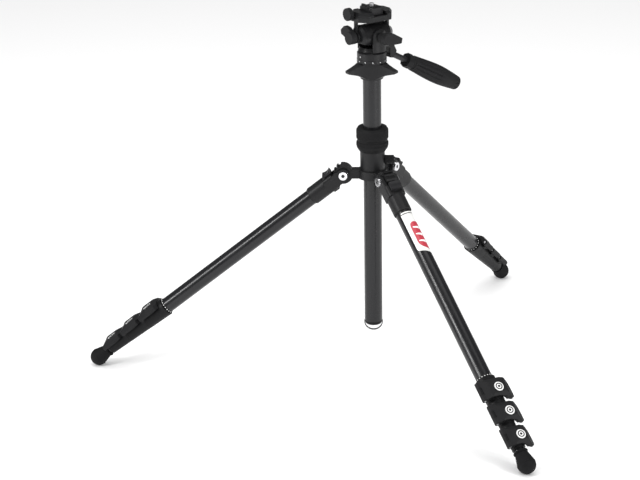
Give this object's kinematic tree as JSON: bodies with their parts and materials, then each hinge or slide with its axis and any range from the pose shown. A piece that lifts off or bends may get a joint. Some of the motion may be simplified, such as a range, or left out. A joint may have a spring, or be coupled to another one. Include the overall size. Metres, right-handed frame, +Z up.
{
  "type": "camera tripod",
  "caption": "Folding travel tripod with flip-lock telescopic legs, twist-lock centre column, three-way pan head and camera plate.",
  "frame": {"origin": "centre column's axis at floor level, midway between the three feet", "axes": "+Z up the centre column, +X between the front and rear legs, +Y towards the rear leg's side"},
  "size_m": [0.6141, 0.7052, 0.5268],
  "materials": {
    "anodised_tube": "black anodised, satin",
    "lever_plastic": "fine moulded grain",
    "clamp_plastic": "fine moulded grain",
    "tab_plastic": "moulded",
    "knob_plastic": "ribbed moulding",
    "foot_rubber": "matte",
    "collar_rubber": "stippled grip rubber",
    "grip_rubber": "soft grip with fine texture",
    "casting_paint": "crinkle black paint on die casting",
    "head_paint": "semi-matt black paint",
    "rod_paint": "satin black",
    "bolt_chrome": "polished",
    "hook_steel": "blackened",
    "screw_steel": "plain",
    "plate_aluminium": "black anodised",
    "cap_grey": "mid grey",
    "badge_white": "printed white, gloss",
    "badge_ink": "printed dark grey",
    "label_foil": "pale silver film",
    "label_red": "red print"
  },
  "bodies": {
    "spider": {"spider": "casting_paint", "pivot_bolts": "bolt_chrome"},
    "column": {"column_tube": "anodised_tube", "column_platform": "casting_paint", "column_hook_plug": "clamp_plastic", "pan_base": "head_paint"},
    "collar": {"column_collar": "collar_rubber"},
    "friction_knob": {"column_friction_knob": "knob_plastic"},
    "hook": {"weight_hook_bail": "hook_steel"},
    "pan": {"pan_body": "head_paint"},
    "tilt": {"tilt_body": "head_paint", "head_cap_screws": "cap_grey"},
    "tilt_lever": {"tilt_lever": "lever_plastic"},
    "roll_lever": {"roll_lever": "lever_plastic"},
    "platform": {"platform_bracket": "head_paint"},
    "jaw": {"clamp_jaw": "head_paint"},
    "jaw_knob": {"clamp_knob": "knob_plastic"},
    "plate": {"camera_plate": "plate_aluminium"},
    "screw": {"camera_screw": "screw_steel"},
    "handle": {"handle_rod": "rod_paint", "handle_grip": "grip_rubber"},
    "front_leg": {"front_shoulder": "casting_paint", "front_tube_1": "anodised_tube", "front_clamp_1": "clamp_plastic"},
    "front_section_2": {"front_tube_2": "anodised_tube", "front_clamp_2": "clamp_plastic"},
    "front_section_3": {"front_tube_3": "anodised_tube", "front_clamp_3": "clamp_plastic"},
    "front_section_4": {"front_tube_4": "anodised_tube", "front_foot": "foot_rubber"},
    "front_angle_stop": {"front_angle_stop": "tab_plastic"},
    "front_lever_1": {"front_lever_1": "lever_plastic"},
    "front_lever_2": {"front_lever_2": "lever_plastic"},
    "front_lever_3": {"front_lever_3": "lever_plastic"},
    "rear_leg": {"rear_shoulder": "casting_paint", "rear_tube_1": "anodised_tube", "rear_clamp_1": "clamp_plastic"},
    "rear_section_2": {"rear_tube_2": "anodised_tube", "rear_clamp_2": "clamp_plastic"},
    "rear_section_3": {"rear_tube_3": "anodised_tube", "rear_clamp_3": "clamp_plastic"},
    "rear_section_4": {"rear_tube_4": "anodised_tube", "rear_foot": "foot_rubber"},
    "rear_angle_stop": {"rear_angle_stop": "tab_plastic"},
    "rear_lever_1": {"rear_lever_1": "lever_plastic"},
    "rear_lever_2": {"rear_lever_2": "lever_plastic"},
    "rear_lever_3": {"rear_lever_3": "lever_plastic"},
    "left_leg": {"left_shoulder": "casting_paint", "left_tube_1": "anodised_tube", "left_clamp_1": "clamp_plastic"},
    "left_section_2": {"left_tube_2": "anodised_tube", "left_clamp_2": "clamp_plastic"},
    "left_section_3": {"left_tube_3": "anodised_tube", "left_clamp_3": "clamp_plastic"},
    "left_section_4": {"left_tube_4": "anodised_tube", "left_foot": "foot_rubber"},
    "left_angle_stop": {"left_angle_stop": "tab_plastic"},
    "left_lever_1": {"left_lever_1": "lever_plastic"},
    "left_lever_2": {"left_lever_2": "lever_plastic"},
    "left_lever_3": {"left_lever_3": "lever_plastic"}
  },
  "joints": [
    {"name": "column_slide", "type": "slide", "parent": "spider", "child": "column", "axis": [0, 0, 1], "range_m": [-0.05, 0.18]},
    {"name": "collar_twist", "type": "hinge", "parent": "spider", "child": "collar", "pos_m": [0, 0, 0.32777], "axis": [0, 0, 1], "range_deg": [0, 90]},
    {"name": "friction_knob_turn", "type": "hinge", "parent": "spider", "child": "friction_knob", "pos_m": [0.017, 0, 0.30727], "axis": [1, 0, 0], "range_deg": [0, 180]},
    {"name": "hook_swing", "type": "hinge", "parent": "column", "child": "hook", "pos_m": [0, 0, 0.0674], "axis": [1, 0, 0], "range_deg": [-90, 90]},
    {"name": "pan_turn", "type": "hinge", "parent": "column", "child": "pan", "pos_m": [0, 0, 0.462], "axis": [0, 0, 1], "continuous": true},
    {"name": "tilt", "type": "hinge", "parent": "pan", "child": "tilt", "pos_m": [0, 0, 0.4835], "axis": [0.617, -0.7869, 0], "range_deg": [-6, 20]},
    {"name": "roll", "type": "hinge", "parent": "tilt", "child": "platform", "pos_m": [0, 0, 0.4835], "axis": [-0.7869, -0.617, 0], "range_deg": [-15, 90]},
    {"name": "tilt_lever_turn", "type": "hinge", "parent": "tilt", "child": "tilt_lever", "pos_m": [0.01851, -0.02361, 0.4835], "axis": [0.617, -0.7869, 0], "range_deg": [-60, 0]},
    {"name": "roll_lever_turn", "type": "hinge", "parent": "tilt", "child": "roll_lever", "pos_m": [-0.02518, -0.01975, 0.4835], "axis": [-0.7869, -0.617, 0], "range_deg": [-60, 0]},
    {"name": "handle_twist", "type": "hinge", "parent": "tilt", "child": "handle", "pos_m": [0.02479, 0.01944, 0.4525], "axis": [0.6916, 0.5423, -0.4772], "range_deg": [-30, 180]},
    {"name": "clamp_knob_turn", "type": "hinge", "parent": "platform", "child": "jaw_knob", "pos_m": [-0.02871, -0.01362, 0.5146], "axis": [-0.7869, -0.617, 0], "range_deg": [0, 900]},
    {"name": "clamp_jaw_slide", "type": "slide", "parent": "platform", "child": "jaw", "axis": [-0.7869, -0.617, 0], "range_m": [0, 0.002]},
    {"name": "plate_slide", "type": "slide", "parent": "platform", "child": "plate", "axis": [0.617, -0.7869, 0], "range_m": [0, 0.034]},
    {"name": "camera_screw_turn", "type": "hinge", "parent": "plate", "child": "screw", "pos_m": [0, 0, 0.5175], "axis": [0, 0, 1], "continuous": true},
    {"name": "front_leg_fold", "type": "hinge", "parent": "spider", "child": "front_leg", "pos_m": [0.0202, -0.03499, 0.28777], "axis": [0.866, 0.5, 0], "range_deg": [-113, 52]},
    {"name": "front_section_2_slide", "type": "slide", "parent": "front_leg", "child": "front_section_2", "axis": [0.394, -0.6824, -0.6157], "range_m": [0, 0.26]},
    {"name": "front_section_3_slide", "type": "slide", "parent": "front_section_2", "child": "front_section_3", "axis": [0.394, -0.6824, -0.6157], "range_m": [0, 0.26]},
    {"name": "front_section_4_slide", "type": "slide", "parent": "front_section_3", "child": "front_section_4", "axis": [0.394, -0.6824, -0.6157], "range_m": [0, 0.26]},
    {"name": "front_angle_stop_slide", "type": "slide", "parent": "front_leg", "child": "front_angle_stop", "axis": [0.394, -0.6824, -0.6157], "range_m": [0, 0.004], "stiffness_N_per_m": 300},
    {"name": "front_lever_1_flip", "type": "hinge", "parent": "front_leg", "child": "front_lever_1", "pos_m": [0.14116, -0.2795, 0.08396], "axis": [0.394, -0.6824, -0.6157], "range_deg": [0, 110]},
    {"name": "front_lever_2_flip", "type": "hinge", "parent": "front_section_2", "child": "front_lever_2", "pos_m": [0.15613, -0.30243, 0.0626], "axis": [0.394, -0.6824, -0.6157], "range_deg": [0, 110]},
    {"name": "front_lever_3_flip", "type": "hinge", "parent": "front_section_3", "child": "front_lever_3", "pos_m": [0.1711, -0.32536, 0.04123], "axis": [0.394, -0.6824, -0.6157], "range_deg": [0, 110]},
    {"name": "rear_leg_fold", "type": "hinge", "parent": "spider", "child": "rear_leg", "pos_m": [0.0202, 0.03499, 0.28777], "axis": [-0.866, 0.5, 0], "range_deg": [-113, 52]},
    {"name": "rear_section_2_slide", "type": "slide", "parent": "rear_leg", "child": "rear_section_2", "axis": [0.394, 0.6824, -0.6157], "range_m": [0, 0.26]},
    {"name": "rear_section_3_slide", "type": "slide", "parent": "rear_section_2", "child": "rear_section_3", "axis": [0.394, 0.6824, -0.6157], "range_m": [0, 0.26]},
    {"name": "rear_section_4_slide", "type": "slide", "parent": "rear_section_3", "child": "rear_section_4", "axis": [0.394, 0.6824, -0.6157], "range_m": [0, 0.26]},
    {"name": "rear_angle_stop_slide", "type": "slide", "parent": "rear_leg", "child": "rear_angle_stop", "axis": [0.394, 0.6824, -0.6157], "range_m": [0, 0.004], "stiffness_N_per_m": 300},
    {"name": "rear_lever_1_flip", "type": "hinge", "parent": "rear_leg", "child": "rear_lever_1", "pos_m": [0.17147, 0.262, 0.08396], "axis": [0.394, 0.6824, -0.6157], "range_deg": [0, 110]},
    {"name": "rear_lever_2_flip", "type": "hinge", "parent": "rear_section_2", "child": "rear_lever_2", "pos_m": [0.18385, 0.28643, 0.0626], "axis": [0.394, 0.6824, -0.6157], "range_deg": [0, 110]},
    {"name": "rear_lever_3_flip", "type": "hinge", "parent": "rear_section_3", "child": "rear_lever_3", "pos_m": [0.19622, 0.31086, 0.04123], "axis": [0.394, 0.6824, -0.6157], "range_deg": [0, 110]},
    {"name": "left_leg_fold", "type": "hinge", "parent": "spider", "child": "left_leg", "pos_m": [-0.0404, 0, 0.28777], "axis": [0, -1, 0], "range_deg": [-113, 52]},
    {"name": "left_section_2_slide", "type": "slide", "parent": "left_leg", "child": "left_section_2", "axis": [-0.788, 0, -0.6157], "range_m": [0, 0.26]},
    {"name": "left_section_3_slide", "type": "slide", "parent": "left_section_2", "child": "left_section_3", "axis": [-0.788, 0, -0.6157], "range_m": [0, 0.26]},
    {"name": "left_section_4_slide", "type": "slide", "parent": "left_section_3", "child": "left_section_4", "axis": [-0.788, 0, -0.6157], "range_m": [0, 0.26]},
    {"name": "left_angle_stop_slide", "type": "slide", "parent": "left_leg", "child": "left_angle_stop", "axis": [-0.788, 0, -0.6157], "range_m": [0, 0.004], "stiffness_N_per_m": 300},
    {"name": "left_lever_1_flip", "type": "hinge", "parent": "left_leg", "child": "left_lever_1", "pos_m": [-0.31263, 0.0175, 0.08396], "axis": [-0.788, 0, -0.6157], "range_deg": [0, 110]},
    {"name": "left_lever_2_flip", "type": "hinge", "parent": "left_section_2", "child": "left_lever_2", "pos_m": [-0.33998, 0.016, 0.0626], "axis": [-0.788, 0, -0.6157], "range_deg": [0, 110]},
    {"name": "left_lever_3_flip", "type": "hinge", "parent": "left_section_3", "child": "left_lever_3", "pos_m": [-0.36732, 0.0145, 0.04123], "axis": [-0.788, 0, -0.6157], "range_deg": [0, 110]}
  ],
  "couplings": [
    {"joint": "clamp_knob_turn", "follows": "clamp_jaw_slide", "rad_per_m": 7854}
  ]
}
